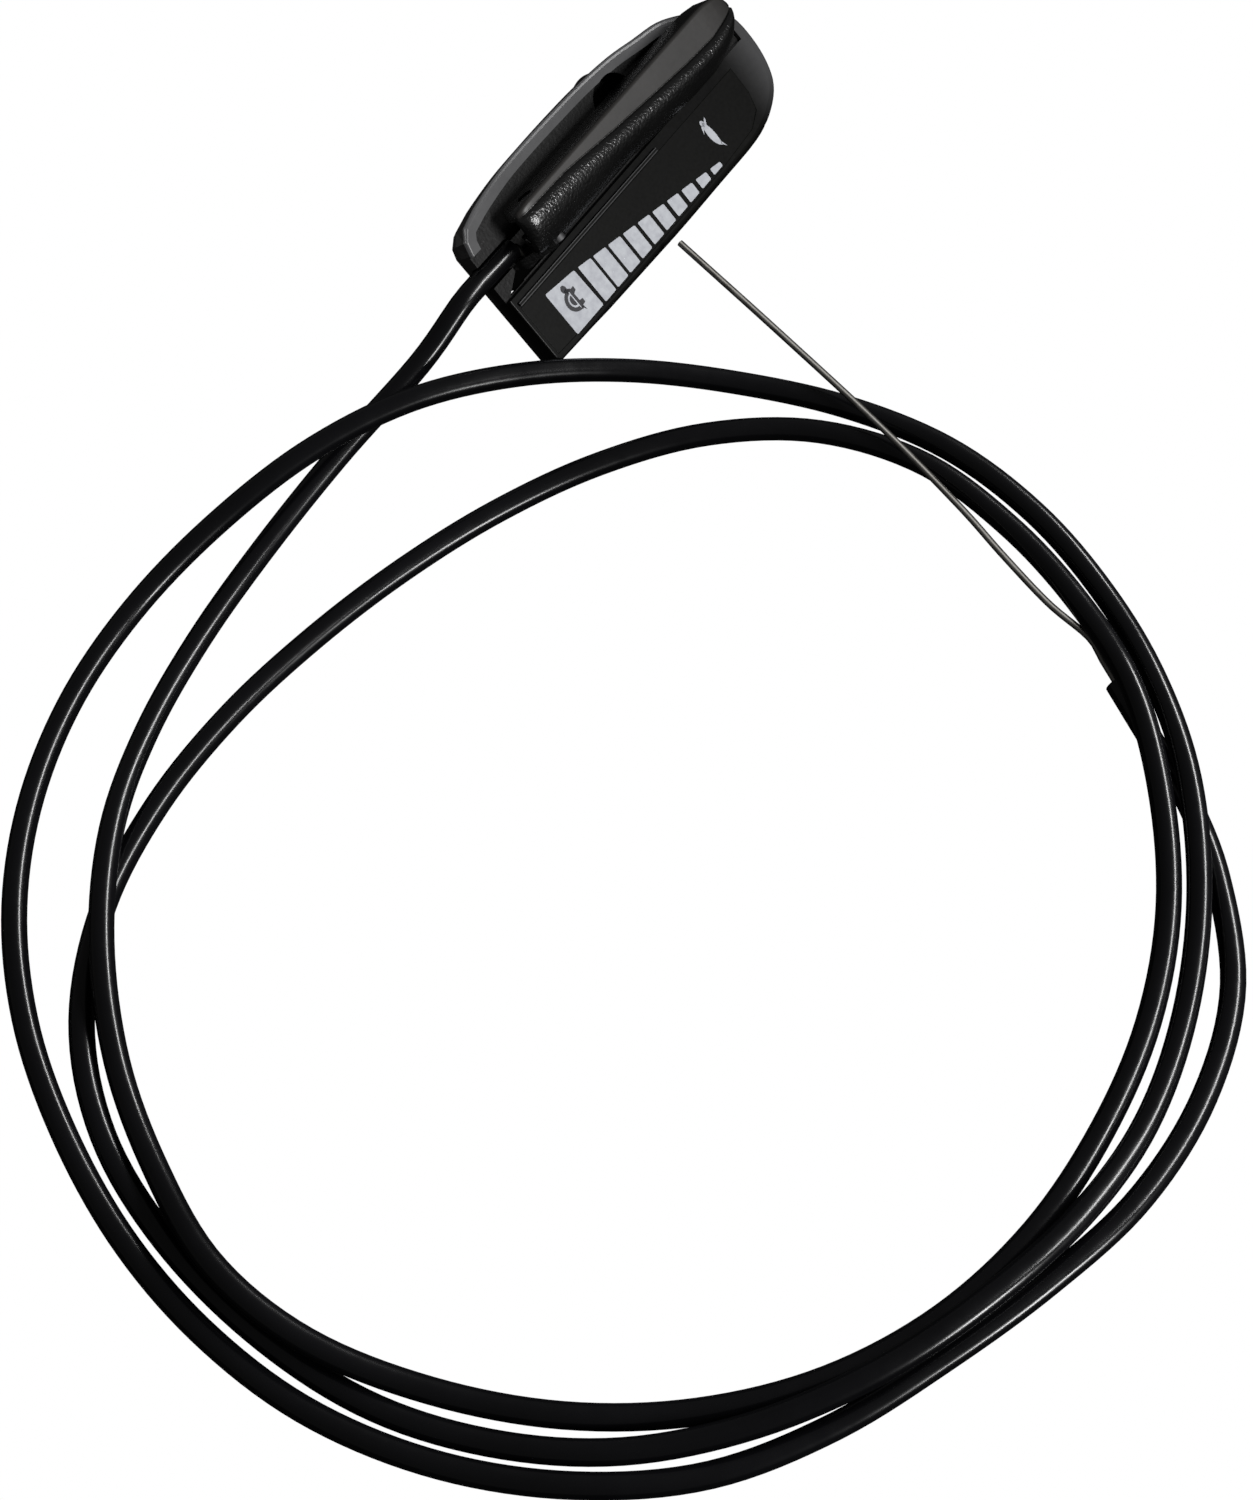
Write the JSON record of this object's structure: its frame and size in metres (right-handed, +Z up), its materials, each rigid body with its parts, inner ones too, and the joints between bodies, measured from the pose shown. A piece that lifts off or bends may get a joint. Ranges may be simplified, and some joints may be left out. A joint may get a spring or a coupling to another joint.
{
  "type": "throttle cable",
  "caption": "Hand throttle control with a flip lever and slow-to-fast scale, on a coiled sheathed cable that ends in bare steel inner wire.",
  "frame": {"origin": "centre of the control's base, under the bounding box of the control without its cable", "axes": "+X along the control from its cable end to its fast end, +Z up as it rests on the floor, +Y towards its plain flange"},
  "size_m": [0.3038, 0.2366, 0.034],
  "materials": {
    "black_moulding": "satin black moulding",
    "lever_moulding": "fine leather grain",
    "conduit_jacket": "smooth gloss jacket",
    "wire_steel": "drawn wire",
    "zinc_steel": "zinc plated",
    "printed_film": "satin film, printed white"
  },
  "bodies": {
    "control": {"housing": "black_moulding", "bottom_cover": "black_moulding", "cover_screw_1": "zinc_steel", "cover_screw_2": "zinc_steel", "scale_label": "printed_film", "pivot_pin": "zinc_steel", "spring_washer": "zinc_steel", "friction_washer": "zinc_steel", "conduit_lead": "conduit_jacket", "conduit": "conduit_jacket", "conduit_tail": "conduit_jacket"},
    "lever_body": {"lever": "lever_moulding"},
    "hook_wire": {"inner_wire_hook": "wire_steel", "wire_keeper": "zinc_steel"},
    "tip_wire": {"inner_wire_tip": "wire_steel"}
  },
  "joints": [
    {"name": "lever_hinge", "type": "hinge", "parent": "control", "child": "lever_body", "pos_m": [-0.0268, -0.00116, 0.02691], "axis": [0, -0.7431, -0.6691], "range_deg": [0, 70]},
    {"name": "hook_slide", "type": "slide", "parent": "control", "child": "hook_wire", "axis": [1, 0, 0], "range_m": [0, 0.0102]},
    {"name": "tip_slide", "type": "slide", "parent": "control", "child": "tip_wire", "axis": [-0.5145, -0.8575, 0], "range_m": [0, 0.0102]}
  ],
  "couplings": [
    {"joint": "hook_slide", "follows": "lever_hinge", "m_per_rad": 0.00825},
    {"joint": "tip_slide", "follows": "lever_hinge", "m_per_rad": 0.00825}
  ]
}
